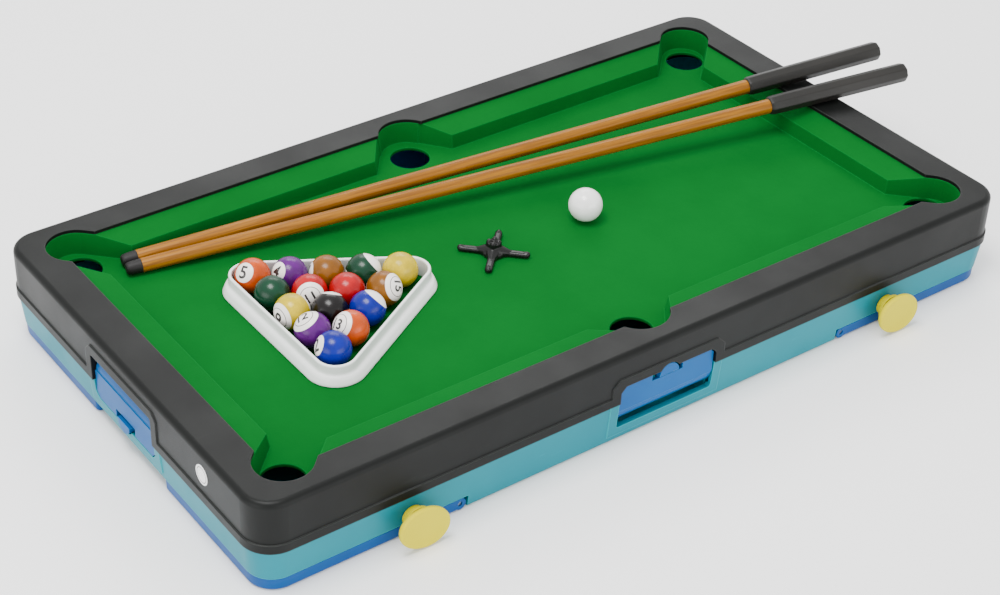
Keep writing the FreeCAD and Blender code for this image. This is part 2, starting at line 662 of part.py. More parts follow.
def leg_knob(label, side_x, side_y):
    rim = doc.addObject("Part::Ellipse", label + "_rim")
    bind(rim, "MajorRadius", "knob_major")
    bind(rim, "MinorRadius", "knob_minor")
    place(rim, "0", "0", "knob_out - knob_plate")
    plate = doc.addObject("Part::Extrusion", label + "_plate")
    plate.Base = rim
    plate.DirMode = "Custom"
    plate.Dir = FreeCAD.Vector(0, 0, 1)
    bind(plate, "LengthFwd", "knob_plate")
    plate.Solid = True
    doc.recompute()
    softened = doc.addObject("Part::Fillet", label + "_softened")
    softened.Base = plate
    edge_radius = 0.4 * SIZES["knob_plate"]
    rims = [number for number, edge in enumerate(plate.Shape.Edges, start=1) if not upright(edge)]
    softened.Edges = [(number, edge_radius, edge_radius) for number in rims]
    neck = bar(label + "_neck", "Z", "knob_neck", ("0", "0", "-0.9"), "knob_out - knob_plate + 1.5")
    collar = bar(label + "_collar", "Z", "knob_collar", ("0", "0", "2 * collar_thick"), "collar_thick")
    shaft_inner = "-(table_width / 2 - ear_inner_y - ear_thick - rest_gap)"
    shaft = bar(label + "_shaft", "Z", "knob_shaft", ("0", "0", shaft_inner), "6.5")
    knob = fused(label, softened, neck, collar, shaft)
    turn = FreeCAD.Rotation(AXES["Y"], SIZES["knob_tilt"]) * FreeCAD.Rotation(AXES["X"], 90)
    if side_y > 0:
        turn = FreeCAD.Rotation(AXES["Z"], 180) * turn
    knob.Placement = FreeCAD.Placement(FreeCAD.Vector(), turn)
    node(label, place(knob, "%d * knob_x" % side_x, "%d * table_width / 2" % side_y, "knob_z"))


leg_knob("knob_front_left", -1, -1)
leg_knob("knob_front_right", 1, -1)
leg_knob("knob_back_left", -1, 1)
leg_knob("knob_back_right", 1, 1)


# ---------------------------------------------------------------- ball doors
# A flat blue plate that steps back into a roll along one edge and turns on two short pins
# at the centre of the roll. A half-round tab in a notch holds it shut. All four are the same.

def ball_door(label, turn, move=("0", "0", "0")):
    face = "(-table_width / 2 + door_recess)"
    back = "(%s + door_plate)" % face
    plate = outline(label + "_plate", "XZ",
                    window_points("door_half", DOOR_AXIS_Z, "window_high - door_gap", "window_chamfer"),
                    "-" + back, "door_plate")
    roll_outer = bar(label + "_roll_outer", "X", "roll_radius - roll_step",
                     ("-door_half", DOOR_AXIS_Y, DOOR_AXIS_Z), "2 * door_half")
    roll_inner = bar(label + "_roll_inner", "X", "roll_radius - door_plate",
                     ("-door_half - 1", DOOR_AXIS_Y, DOOR_AXIS_Z), "2 * door_half + 2")
    roll_corner = block(label + "_roll_corner", ("-door_half", "door_half"), (face + " - 1", DOOR_AXIS_Y),
                        (DOOR_AXIS_Z + " - roll_radius - 1", DOOR_AXIS_Z))
    roll = common(label + "_roll", cut(label + "_roll_tube", roll_outer, roll_inner), roll_corner)
    parts = [plate, roll]
    for number, (low, pin) in enumerate((("-door_half", "-door_half - 3.2"),
                                         ("door_half - web_thick", "door_half - 1"))):
        disc = bar("%s_web_disc_%d" % (label, number), "X", "roll_radius - roll_step",
                   (low, DOOR_AXIS_Y, DOOR_AXIS_Z), "web_thick")
        quarter = block("%s_web_box_%d" % (label, number), (low, low + " + web_thick"),
                        (face + " - 1", DOOR_AXIS_Y + " + 2.6"),
                        (DOOR_AXIS_Z + " - roll_radius - 1", DOOR_AXIS_Z + " + 2.6"))
        parts.append(common("%s_web_%d" % (label, number), disc, quarter))
        parts.append(bar("%s_pin_%d" % (label, number), "X", "pin_radius", (pin, DOOR_AXIS_Y, DOOR_AXIS_Z),
                         "4.2"))
    notch = block(label + "_notch", ("-notch_half", "notch_half"), (face + " - 1", back + " + 1"),
                  ("notch_floor", "window_high + 1"))
    tongue = block(label + "_tongue", ("-tab_radius + 1", "tab_radius - 1"), (back, back + " + 1.4"),
                   ("notch_floor - 3", "notch_floor + 4"))
    tab_disc = bar(label + "_tab_disc", "Y", "tab_radius", ("0", face + " - 1.6", TAB_HEIGHT),
                   "3 + door_plate")
    tab_box = block(label + "_tab_box", ("-tab_radius", "tab_radius"), (face + " - 2", back + " + 2"),
                    (TAB_HEIGHT + " + 0.2", TAB_HEIGHT + " + tab_radius + 1"))
    tab = common(label + "_tab", tab_disc, tab_box)
    door = fused(label, cut(label + "_notched", fused(label + "_blank", *parts), notch), tongue, tab)
    door.Placement = FreeCAD.Placement(FreeCAD.Vector(), turn)
    node(label, place(door, *move))


upside_down = FreeCAD.Rotation(AXES["Y"], 180)
END_SHIFT = "(table_length - table_width) / 2"
ball_door("door_front", FreeCAD.Rotation())
ball_door("door_back", FreeCAD.Rotation(AXES["Z"], 180))
ball_door("door_left", FreeCAD.Rotation(AXES["Z"], -90) * upside_down, ("-" + END_SHIFT, "0", FLIP))
ball_door("door_right", FreeCAD.Rotation(AXES["Z"], 90) * upside_down, (END_SHIFT, "0", FLIP))


# ---------------------------------------------------------------- label
# A plain round disc of printed film on the left end.

node("side_label", bar("side_label", "X", "label_radius",
                       ("-table_length / 2 - label_thick", "label_y", "label_z"), "label_thick"))


# ---------------------------------------------------------------- balls and rack
# Fifteen numbered balls in a white triangle, and the cue ball. The rack's wall is
# upright inside and has a flared skirt outside.

BALL_CENTRE = "bed_height + rest_gap + ball_radius"
RACK_COLUMNS = ((5, 6, 9, 12, 2), (4, 11, 8, 13), (7, 3, 10), (14, 15), (1,))


def ball(label, x, y):
    sphere = doc.addObject("Part::Sphere", label)
    bind(sphere, "Radius", "ball_radius")
    node(label, place(sphere, x, y, BALL_CENTRE))


turn = SIZES["set_turn"]
for column, numbers in enumerate(RACK_COLUMNS):
    for place_in_column, number in enumerate(numbers):
        along = "(%d * ball_pitch * sqrt(3) / 2 - 2 * ball_pitch / sqrt(3))" % column
        across = "((%g) * ball_pitch)" % ((len(numbers) - 1) / 2 - place_in_column)
        ball("ball_%02d" % number,
             "set_x + %s * cos(%g) - %s * sin(%g)" % (along, turn, across, turn),
             "set_y + %s * sin(%g) + %s * cos(%g)" % (along, turn, across, turn))
ball("cue_ball", "cue_ball_x", "cue_ball_y")


def triangle_ring(name, offset, corner, height):
    """A rounded triangle, its sides a stated distance outside the outer balls' centres."""
    core = doc.addObject("Part::RegularPolygon", name + "_core")
    core.Polygon = 3
    bind(core, "Circumradius", "4 * ball_pitch / sqrt(3) + 2 * (%s - %s)" % (offset, corner))
    place(core, "0", "0", height)
    ring = doc.addObject("Part::Offset2D", name)
    ring.Source = core
    ring.Join = 0
    bind(ring, "Value", corner)
    return ring


def triangle(name, low, high):
    """A solid between two rounded triangles, each an offset, a corner radius and a height."""
    solid = doc.addObject("Part::Loft", name)
    solid.Sections = [triangle_ring(name + "_low", *low), triangle_ring(name + "_high", *high)]
    solid.Solid = True
    solid.Ruled = True
    return solid


rack_upright = triangle("rack_upright", ("rack_wall", "wall_corner", "0"),
                        ("rack_wall", "wall_corner", "rack_height"))
rack_skirt = triangle("rack_skirt", ("rack_foot", "foot_corner", "0"),
                      ("rack_ledge", "ledge_corner", "ledge_height"))
rack_inside = triangle("rack_inside", ("rack_bore", "bore_corner", "-1"),
                       ("rack_bore", "bore_corner", "rack_height + 1"))
rack = cut("triangle_rack", fused("rack_solid", rack_upright, rack_skirt), rack_inside)
node("triangle_rack", place(rack, "rack_x", "rack_y", "bed_height + rest_gap"))


# ---------------------------------------------------------------- cues
# A turned wooden shaft with a black tip, and an eight-sided grip. The tip lies on the
# bed and the grip rests on the inner edge of the right-hand rim, which sets the slope.

TIP_Z = SIZES["bed_height"] + SIZES["rest_gap"] + SIZES["cue_tip_radius"]
RIM_Z = SIZES["table_height"] + SIZES["rest_gap"] + SIZES["cue_grip_radius"]

for label in ("cue_1", "cue_2"):
    start = FreeCAD.Vector(SIZES[label + "_tip_x"], SIZES[label + "_tip_y"], TIP_Z)
    reach = SIZES[label + "_butt_x"] - start.x
    slope = (RIM_Z - TIP_Z) / (SIZES["opening_length"] / 2 - start.x)
    course = FreeCAD.Vector(reach, SIZES[label + "_butt_y"] - start.y, slope * reach)
    lie = FreeCAD.Rotation(AXES["Z"], course)
    tip = doc.addObject("Part::Cone", label + "_tip")
    bind(tip, "Radius1", "cue_tip_radius - 0.9")
    bind(tip, "Radius2", "cue_tip_radius")
    bind(tip, "Height", "cue_tip_length")
    shaft = doc.addObject("Part::Cone", label + "_shaft")
    bind(shaft, "Radius1", "cue_tip_radius")
    bind(shaft, "Radius2", "cue_joint_radius")
    bind(shaft, "Height", "cue_shaft_end - cue_tip_length")
    grip = doc.addObject("Part::Prism", label + "_grip")
    grip.Polygon = 8
    bind(grip, "Circumradius", "cue_grip_radius")
    bind(grip, "Height", "cue_length - cue_shaft_end")
    for piece, along in ((tip, 0.0), (shaft, SIZES["cue_tip_length"]), (grip, SIZES["cue_shaft_end"])):
        piece.Placement = FreeCAD.Placement(start + lie.multVec(AXES["Z"] * along), lie)
        node(piece.Name, piece)


# ---------------------------------------------------------------- cue rest
# A small cross with rounded arms and a notched crown for steadying the cue.

rest_parts = [bar("rest_disc", "Z", "rest_hub", ("0", "0", "0"), "rest_thick"),
              bar("rest_stem", "Z", "rest_post", ("0", "0", "0"), "rest_height")]
for number, angle in enumerate((45, 135, 225, 315)):
    arm = block("rest_arm_%d" % number, ("0", "rest_arm"), ("-rest_arm_half", "rest_arm_half"),
                ("0", "rest_thick"))
    arm.Placement = FreeCAD.Placement(FreeCAD.Vector(), FreeCAD.Rotation(AXES["Z"], angle))
    across = "rest_arm_half * %g" % math.sin(math.radians(angle))
    along = "-rest_arm_half * %g" % math.cos(math.radians(angle))
    rest_parts.append(place(arm, across, along))
    rest_parts.append(bar("rest_toe_%d" % number, "Z", "rest_arm_half",
                          ("rest_arm * %g" % math.cos(math.radians(angle)),
                           "rest_arm * %g" % math.sin(math.radians(angle)), "0"), "rest_thick"))
NOTCH_SPAN = "2 * rest_post + 4"
rest_notches = [bar("rest_notch_x", "X", "rest_notch", ("-rest_post - 2", "0", "rest_height"), NOTCH_SPAN),
                bar("rest_notch_y", "Y", "rest_notch", ("0", "-rest_post - 2", "rest_height"), NOTCH_SPAN)]
cue_rest = cut("cue_rest", fused("rest_solid", *rest_parts), *rest_notches)
node("cue_rest", place(cue_rest, "rest_x", "rest_y", "bed_height + rest_gap"))


# ---------------------------------------------------------------- check and write

doc.recompute()
for item in doc.Objects:
    if {"Invalid", "Error"} & set(item.State):
        raise RuntimeError("%s could not be computed: %s" % (item.Name, item.State))
for item in nodes:
    shape = item.Shape
    if shape.isNull() or not shape.isValid() or shape.Volume <= 0:
        raise RuntimeError("%s has no valid shape" % item.Label)
    shape.exportStep("parts/%s.step" % item.Label)
    box = shape.BoundBox
    print("%-16s solids %2d  volume %9.0f  x %7.1f %7.1f  y %7.1f %7.1f  z %6.1f %6.1f" % (
        item.Label, len(shape.Solids), shape.Volume, box.XMin, box.XMax, box.YMin, box.YMax,
        box.ZMin, box.ZMax))
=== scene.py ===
import math

import bmesh
import bpy
from mathutils import Euler, Matrix, Vector


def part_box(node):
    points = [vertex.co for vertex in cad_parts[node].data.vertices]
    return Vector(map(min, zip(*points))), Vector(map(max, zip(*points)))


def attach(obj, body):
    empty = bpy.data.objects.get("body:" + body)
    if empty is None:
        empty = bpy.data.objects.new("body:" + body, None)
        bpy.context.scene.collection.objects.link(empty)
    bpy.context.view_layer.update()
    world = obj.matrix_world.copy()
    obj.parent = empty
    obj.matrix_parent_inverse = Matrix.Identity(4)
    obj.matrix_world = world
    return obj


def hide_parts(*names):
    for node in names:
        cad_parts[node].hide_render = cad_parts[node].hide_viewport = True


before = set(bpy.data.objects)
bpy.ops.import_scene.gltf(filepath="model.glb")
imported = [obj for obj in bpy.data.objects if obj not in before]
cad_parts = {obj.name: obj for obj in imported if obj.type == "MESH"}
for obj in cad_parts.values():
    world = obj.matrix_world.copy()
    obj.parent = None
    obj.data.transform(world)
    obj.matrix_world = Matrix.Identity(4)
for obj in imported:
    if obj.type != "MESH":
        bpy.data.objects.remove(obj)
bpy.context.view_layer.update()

# A folding table-top pool table in moulded plastic, with its balls, rack, cues and rest.
# Lengths are in metres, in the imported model's own frame: +X along the table, +Z up.


# ------------------------------------------------------------------ top frame
# The black rim round the bed and its pockets is one moulding in styrene, screwed to the
# base from below. Its skin is a fine satin spark grain, and its edges are a little greyer
# where the light catches them.

def start_group(name, inputs, outputs):
    """A shader node group: its inputs are (name, kind, default), its outputs (name, kind)."""
    group = bpy.data.node_groups.new(name, "ShaderNodeTree")
    for label, kind, default in inputs:
        socket = group.interface.new_socket(label, in_out="INPUT", socket_type="NodeSocket" + kind)
        socket.default_value = default
    for label, kind in outputs:
        group.interface.new_socket(label, in_out="OUTPUT", socket_type="NodeSocket" + kind)
    return group, group.nodes.new("NodeGroupInput"), group.nodes.new("NodeGroupOutput")


def wire(tree, target, source):
    """Links two sockets, or sets a value where the source is a plain one."""
    if isinstance(source, bpy.types.NodeSocket):
        tree.links.new(source, target)
    else:
        target.default_value = source


def math_node(tree, operation, first, second=None, third=None):
    node = tree.nodes.new("ShaderNodeMath")
    node.operation = operation
    for socket, value in zip(node.inputs, (first, second, third)):
        if value is not None:
            wire(tree, socket, value)
    return node.outputs[0]


def ramp_node(tree, value, low, high, out_low=0.0, out_high=1.0):
    """A smooth step from one value to another as the input goes from low to high."""
    node = tree.nodes.new("ShaderNodeMapRange")
    node.interpolation_type = "SMOOTHSTEP"
    for socket, entry in zip(node.inputs, (value, low, high, out_low, out_high)):
        wire(tree, socket, entry)
    return node.outputs[0]


def mix_colour(tree, factor, first, second):
    node = tree.nodes.new("ShaderNodeMix")
    node.data_type = "RGBA"
    # the factor and the two colours, among the node's sockets for every kind of data
    for index, entry in ((0, factor), (6, first), (7, second)):
        wire(tree, node.inputs[index], entry)
    return node.outputs[2]


def noise_node(tree, place, scale, detail=2.0, roughness=0.5):
    node = tree.nodes.new("ShaderNodeTexNoise")
    entries = {"Vector": place, "Scale": scale, "Detail": detail, "Roughness": roughness}
    for label, entry in entries.items():
        wire(tree, node.inputs[label], entry)
    return node.outputs["Fac"]


def object_place(tree):
    return tree.nodes.new("ShaderNodeTexCoord").outputs["Object"]


def place_group(tree, group, values):
    """Puts a node group in a tree and fills its inputs by name."""
    node = tree.nodes.new("ShaderNodeGroup")
    node.node_tree = group
    for label, entry in values.items():
        wire(tree, node.inputs[label], entry)
    return node


def moulded_skin_group():
    """Fine spark grain, cloudy flow marks and a few hairline rubs on moulded plastic."""
    group, given, result = start_group(
        "moulded_skin",
        [("Grain Size", "Float", 0.0004), ("Flow Size", "Float", 0.06), ("Rub", "Float", 0.3)],
        [("Height", "Float"), ("Cloud", "Float"), ("Rubbed", "Float")])
    place = object_place(group)
    grain_scale = math_node(group, "DIVIDE", 1.0, given.outputs["Grain Size"])
    grain = noise_node(group, place, grain_scale, 3.0, 0.65)
    flow_scale = math_node(group, "DIVIDE", 1.0, given.outputs["Flow Size"])
    cloud = noise_node(group, place, flow_scale, 4.0, 0.55)
    stretched = group.nodes.new("ShaderNodeMapping")
    wire(group, stretched.inputs["Vector"], place)
    stretched.inputs["Rotation"].default_value = (0.3, 0.2, 0.5)
    stretched.inputs["Scale"].default_value = (1.0, 22.0, 6.0)
    streak = noise_node(group, stretched.outputs[0], 24.0, 5.0, 0.7)
    hairlines = ramp_node(group, streak, 0.63, 0.72)
    rubbed = math_node(group, "MULTIPLY", hairlines, given.outputs["Rub"])
    sunk = math_node(group, "MULTIPLY", rubbed, -0.4)
    wire(group, result.inputs["Height"], math_node(group, "ADD", grain, sunk))
    wire(group, result.inputs["Cloud"], cloud)
    wire(group, result.inputs["Rubbed"], rubbed)
    return group


def soft_edge_group():
    """The small radius that every moulded edge has, as a normal, and a mask of the edge itself."""
    group, given, result = start_group(
        "soft_edge", [("Radius", "Float", 0.0006)], [("Normal", "Vector"), ("Edge", "Float")])
    bevel = group.nodes.new("ShaderNodeBevel")
    bevel.samples = 6
    wire(group, bevel.inputs["Radius"], given.outputs["Radius"])
    true_normal = group.nodes.new("ShaderNodeNewGeometry").outputs["True Normal"]
    dot = group.nodes.new("ShaderNodeVectorMath")
    dot.operation = "DOT_PRODUCT"
    wire(group, dot.inputs[0], bevel.outputs[0])
    wire(group, dot.inputs[1], true_normal)
    wire(group, result.inputs["Normal"], bevel.outputs[0])
    wire(group, result.inputs["Edge"], ramp_node(group, dot.outputs["Value"], 0.995, 0.86))
    return group


MOULDED_SKIN = moulded_skin_group()
SOFT_EDGE = soft_edge_group()


def start_material(name):
    material = bpy.data.materials.new(name)
    material.use_nodes = True
    return material, material.node_tree, material.node_tree.nodes["Principled BSDF"]


def moulded_plastic(name, colour, highlight_and_rub_tint, deep, roughness, grain=0.12, grain_size=0.0004,
                    edge=0.0006, coat=0.0, rub=0.35, specular=0.5):
    """A moulded plastic: its colour, the paler tint of its rubs and of its edges, where it is a
    painted highlight, and the flow's deeper tone.
    """
    material, tree, shader = start_material(name)
    skin = place_group(tree, MOULDED_SKIN, {"Grain Size": grain_size, "Rub": rub})
    rim = place_group(tree, SOFT_EDGE, {"Radius": edge})
    clouded = mix_colour(tree, ramp_node(tree, skin.outputs["Cloud"], 0.35, 0.68), deep, colour)
    # painted highlight: the edge mask mixes every edge towards the paler tint; the hairline rubs
    # below are wear
    worn_and_edge_highlighted = mix_colour(tree, math_node(tree, "MULTIPLY", rim.outputs["Edge"], 0.75), clouded, highlight_and_rub_tint)
    rubbed = mix_colour(tree, math_node(tree, "MULTIPLY", skin.outputs["Rubbed"], 0.25), worn_and_edge_highlighted, highlight_and_rub_tint)
    wire(tree, shader.inputs["Base Color"], rubbed)
    wire(tree, shader.inputs["Roughness"],
         ramp_node(tree, skin.outputs["Cloud"], 0.3, 0.7, roughness + 0.05, roughness - 0.04))
    bump = tree.nodes.new("ShaderNodeBump")
    bump.inputs["Strength"].default_value = grain
    bump.inputs["Distance"].default_value = grain_size * 0.5
    wire(tree, bump.inputs["Height"], skin.outputs["Height"])
    wire(tree, bump.inputs["Normal"], rim.outputs["Normal"])
    wire(tree, shader.inputs["Normal"], bump.outputs[0])
    shader.inputs["Specular IOR Level"].default_value = specular
    shader.inputs["Coat Weight"].default_value = coat
    return material


def dress(node, material):
    """Gives a CAD part its finish."""
    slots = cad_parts[node].data.materials
    slots.clear()
    slots.append(material)


frame_black = moulded_plastic(
    "frame_black", (0.0055, 0.0062, 0.0058, 1), (0.045, 0.048, 0.046, 1),
    (0.0040, 0.0045, 0.0042, 1), 0.40, grain=0.16, edge=0.0009, rub=0.25, specular=0.13)
dress("top_frame", frame_black)


# ------------------------------------------------------------------ playing bed
# The bed, its sloping cushions and the pocket cups are one moulding under the rim, sprayed
# with short green flock. The flock is matt, and catches light at a low angle; along the
# cushions' edges it is painted paler, as a highlight.

def flock_group():
    """Short upright fibres: a fine stipple, small clumps and broad brushed areas."""
    group, given, result = start_group(
        "flock", [("Fibre Size", "Float", 0.0003)],
        [("Height", "Float"), ("Clump", "Float"), ("Brushed", "Float")])
    place = object_place(group)
    fibre_scale = math_node(group, "DIVIDE", 1.0, given.outputs["Fibre Size"])
    fibre = noise_node(group, place, fibre_scale, 2.0, 0.7)
    clump = noise_node(group, place, 900.0, 3.0, 0.6)
    brushed = noise_node(group, place, 14.0, 5.0, 0.62)
    wire(group, result.inputs["Height"],
         math_node(group, "ADD", fibre, math_node(group, "MULTIPLY", clump, 0.8)))
    wire(group, result.inputs["Clump"], clump)
    wire(group, result.inputs["Brushed"], brushed)
    return group


def flocked_green():
    material, tree, shader = start_material("bed_flock")
    nap = place_group(tree, flock_group(), {"Fibre Size": 0.00028})
    rim = place_group(tree, SOFT_EDGE, {"Radius": 0.0012})
    low = (0.000, 0.081, 0.010, 1)
    high = (0.000, 0.094, 0.012, 1)
    painted_edge_green = (0.002, 0.160, 0.028, 1)
    clump = nap.outputs["Clump"]
    body = mix_colour(tree, ramp_node(tree, nap.outputs["Brushed"], 0.3, 0.7), low, high)
    stippled = mix_colour(tree, ramp_node(tree, clump, 0.35, 0.75, 0.0, 0.35), body, low)
    # painted highlight: the edge mask mixes a paler green along the cushions' edges
    flock_with_painted_edges = mix_colour(tree, math_node(tree, "MULTIPLY", rim.outputs["Edge"], 0.7), stippled, painted_edge_green)
    wire(tree, shader.inputs["Base Color"], flock_with_painted_edges)
    wire(tree, shader.inputs["Roughness"], ramp_node(tree, clump, 0.3, 0.7, 0.98, 0.86))
    bump = tree.nodes.new("ShaderNodeBump")
    bump.inputs["Strength"].default_value = 0.5
    bump.inputs["Distance"].default_value = 0.0002
    wire(tree, bump.inputs["Height"], nap.outputs["Height"])
    wire(tree, bump.inputs["Normal"], rim.outputs["Normal"])
    wire(tree, shader.inputs["Normal"], bump.outputs[0])
    shader.inputs["Specular IOR Level"].default_value = 0.05
    shader.inputs["Sheen Weight"].default_value = 0.06
    shader.inputs["Sheen Roughness"].default_value = 0.5
    shader.inputs["Sheen Tint"].default_value = (0.0, 1.0, 0.15, 1)
    return material


dress("play_bed", flocked_green())


# ------------------------------------------------------------------ base
# A drafted tray moulded in teal styrene that holds the potted balls, with a bay under each
# end for a folded leg. It is a little glossier than the rim, and its edges are painted paler, as a
# highlight.

base_teal = moulded_plastic(
    "base_teal", (0.000, 0.185, 0.230, 1), (0.03, 0.44, 0.48, 1),
    (0.000, 0.165, 0.210, 1), 0.36, grain=0.10, edge=0.0009, specular=0.13)
dress("base_shell", base_teal)


# ------------------------------------------------------------------ legs
# Two tray-shaped panels moulded in dark blue styrene, folded flat in the base's bays. Each
# turns on a steel rod and is clamped by a knob at either end.

leg_blue = moulded_plastic(
    "leg_blue", (0.000, 0.058, 0.230, 1), (0.02, 0.16, 0.42, 1),
    (0.000, 0.050, 0.200, 1), 0.36, grain=0.10, edge=0.0007, specular=0.14)
for side in ("right", "left"):
    dress("leg_" + side, leg_blue)


# ------------------------------------------------------------------ ball doors
# Four flat plates moulded in blue styrene, a shade lighter than the legs. Each steps back
# into a roll along one edge, and turns on two short pins in lugs inside the base.

door_blue = moulded_plastic(
    "door_blue", (0.000, 0.082, 0.270, 1), (0.03, 0.22, 0.50, 1),
    (0.000, 0.070, 0.245, 1), 0.34, grain=0.08, edge=0.0006, specular=0.14)
for side in ("front", "back", "left", "right"):
    dress("door_" + side, door_blue)


# ------------------------------------------------------------------ leg knobs
# Four oval thumb plates moulded in smooth bright yellow. Each shaft goes through the
# base's side and clamps the leg's ear.

knob_yellow = moulded_plastic(
    "knob_yellow", (0.560, 0.480, 0.000, 1), (0.90, 0.80, 0.01, 1),
    (0.530, 0.450, 0.000, 1), 0.36, grain=0.05, edge=0.0008, specular=0.1)
for row in ("front", "back"):
    for side in ("left", "right"):
        dress("knob_%s_%s" % (row, side), knob_yellow)


# ------------------------------------------------------------------ screws and leg rods
# Zinc-plated steel: eight pan-head screws driven up through the base into the rim, and the
# two drawn rods that the legs turn on, with faint drawing marks along them.

def plated_steel():
    material, tree, shader = start_material("plated_steel")
    place = object_place(tree)
    drawn = tree.nodes.new("ShaderNodeMapping")
    wire(tree, drawn.inputs["Vector"], place)
    drawn.inputs["Scale"].default_value = (9.0, 1.0, 9.0)
    marks = noise_node(tree, drawn.outputs[0], 420.0, 3.0, 0.6)
    dull, bright = (0.44, 0.45, 0.47, 1), (0.66, 0.66, 0.64, 1)
    wire(tree, shader.inputs["Base Color"],
         mix_colour(tree, ramp_node(tree, marks, 0.35, 0.7), dull, bright))
    wire(tree, shader.inputs["Roughness"], ramp_node(tree, marks, 0.3, 0.7, 0.42, 0.26))
    shader.inputs["Metallic"].default_value = 1.0
    return material


steel = plated_steel()
dress("frame_screws", steel)
for side in ("right", "left"):
    dress("leg_rod_" + side, steel)


# ------------------------------------------------------------------ side label
# A small round sticker of white film, printed with a plain thin ring and stuck on the
# left end with its own adhesive.

# where the printed ring fades in and out, from the label's middle
RING_INNER_EDGE = (0.0043, 0.0045)
RING_OUTER_EDGE = (0.0050, 0.0048)


def label_film():
    material, tree, shader = start_material("label_film")
    low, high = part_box("side_label")
    middle = (low + high) / 2
    away = tree.nodes.new("ShaderNodeVectorMath")
    away.operation = "DISTANCE"
    wire(tree, away.inputs[0], object_place(tree))
    away.inputs[1].default_value = middle
    radius = away.outputs["Value"]
    ring = math_node(tree, "MULTIPLY", ramp_node(tree, radius, *RING_INNER_EDGE),
                     ramp_node(tree, radius, *RING_OUTER_EDGE))
    speck = noise_node(tree, object_place(tree), 1600.0, 2.0)
    paper = mix_colour(tree, speck, (0.80, 0.80, 0.79, 1), (0.90, 0.90, 0.89, 1))
    wire(tree, shader.inputs["Base Color"], mix_colour(tree, ring, paper, (0.03, 0.03, 0.03, 1)))
    wire(tree, shader.inputs["Roughness"], ramp_node(tree, speck, 0.3, 0.7, 0.30, 0.22))
    return material


dress("side_label", label_film())


# ------------------------------------------------------------------ balls
# Balls of cast and polished resin. The low numbers are one colour with a white spot; the
# high ones have two white ends, with a thin ring round the number. The numbers are inked
# on the surface. The balls lie loose on the bed, fifteen in the rack and a white one.

BALL_RADIUS = 0.0107
# heights over the ball's middle, towards the number, on a ball of unit radius
SPOT = math.cos(math.radians(34))
WHITE_END = math.cos(math.radians(50))
RING_LOW_EDGE = (0.824, 0.830)
RING_HIGH_EDGE = (0.850, 0.844)
COLOUR_FADE = 0.008


def view_axes():
    """Right, up and near, as seen from over the near left corner, to place the numbers by."""
    facing = Euler((math.radians(55.4), 0, math.radians(-34.9))).to_matrix()
    return [facing @ Vector(axis) for axis in ((1, 0, 0), (0, 1, 0), (0, 0, 1))]


RIGHT, UP, NEAR = view_axes()


def ball_turn(face, top):
    """A ball's rotation, from where its number and the number's top point: right, up, near."""
    face = sum((part * axis for part, axis in zip(face, (RIGHT, UP, NEAR))), Vector()).normalized()
    top = sum((part * axis for part, axis in zip(top, (RIGHT, UP, NEAR))), Vector())
    top = (top - top.dot(face) * face).normalized()
    return Matrix((top.cross(face), top, face)).transposed()


def resin(name, colour, striped):
    material, tree, shader = start_material(name)
    place = object_place(tree)
    split = tree.nodes.new("ShaderNodeSeparateXYZ")
    unit = tree.nodes.new("ShaderNodeVectorMath")
    unit.operation = "NORMALIZE"
    wire(tree, unit.inputs[0], place)
    wire(tree, split.inputs[0], unit.outputs[0])
    cream = (0.83, 0.78, 0.74, 1)
    swirl = noise_node(tree, place, 160.0, 4.0, 0.6)
    deeper = tuple(0.72 * part for part in colour[:3]) + (1,)
    body = mix_colour(tree, ramp_node(tree, swirl, 0.35, 0.7), deeper, colour)
    height = split.outputs["Z"]
    if striped:
        ends = math_node(tree, "ABSOLUTE", height)
        white = ramp_node(tree, ends, WHITE_END - COLOUR_FADE, WHITE_END + COLOUR_FADE)
        body = mix_colour(tree, white, body, cream)
        ring = math_node(tree, "MULTIPLY", ramp_node(tree, height, *RING_LOW_EDGE),
                         ramp_node(tree, height, *RING_HIGH_EDGE))
        body = mix_colour(tree, ring, body, (0.02, 0.018, 0.018, 1))
    else:
        white = ramp_node(tree, height, SPOT - COLOUR_FADE, SPOT + COLOUR_FADE)
        body = mix_colour(tree, white, body, cream)
    wire(tree, shader.inputs["Base Color"], body)
    wire(tree, shader.inputs["Roughness"], ramp_node(tree, swirl, 0.3, 0.7, 0.29, 0.22))
    scuff = noise_node(tree, place, 900.0, 4.0, 0.7)
    bump = tree.nodes.new("ShaderNodeBump")
    bump.inputs["Strength"].default_value = 0.06
    bump.inputs["Distance"].default_value = 0.00005
    wire(tree, bump.inputs["Height"], scuff)
    wire(tree, shader.inputs["Normal"], bump.outputs[0])
    shader.inputs["Specular IOR Level"].default_value = 0.28
    return material


def number_ink():
    material, tree, shader = start_material("number_ink")
    speck = noise_node(tree, object_place(tree), 2400.0, 2.0)
    dense, worn_and_edge_highlighted = (0.012, 0.011, 0.011, 1), (0.035, 0.03, 0.03, 1)
    wire(tree, shader.inputs["Base Color"],
         mix_colour(tree, ramp_node(tree, speck, 0.4, 0.7), dense, worn_and_edge_highlighted))
    wire(tree, shader.inputs["Roughness"], ramp_node(tree, speck, 0.3, 0.7, 0.34, 0.24))
    return material


ONE_FIGURE_SIZE = 0.0108
TWO_FIGURE_SIZE = 0.0084
STROKE_SWELL = 0.00022
NUMBER_CUTS = 14
# keeps the cuts off the outline's own corners
CUT_SHIFT = 1e-5


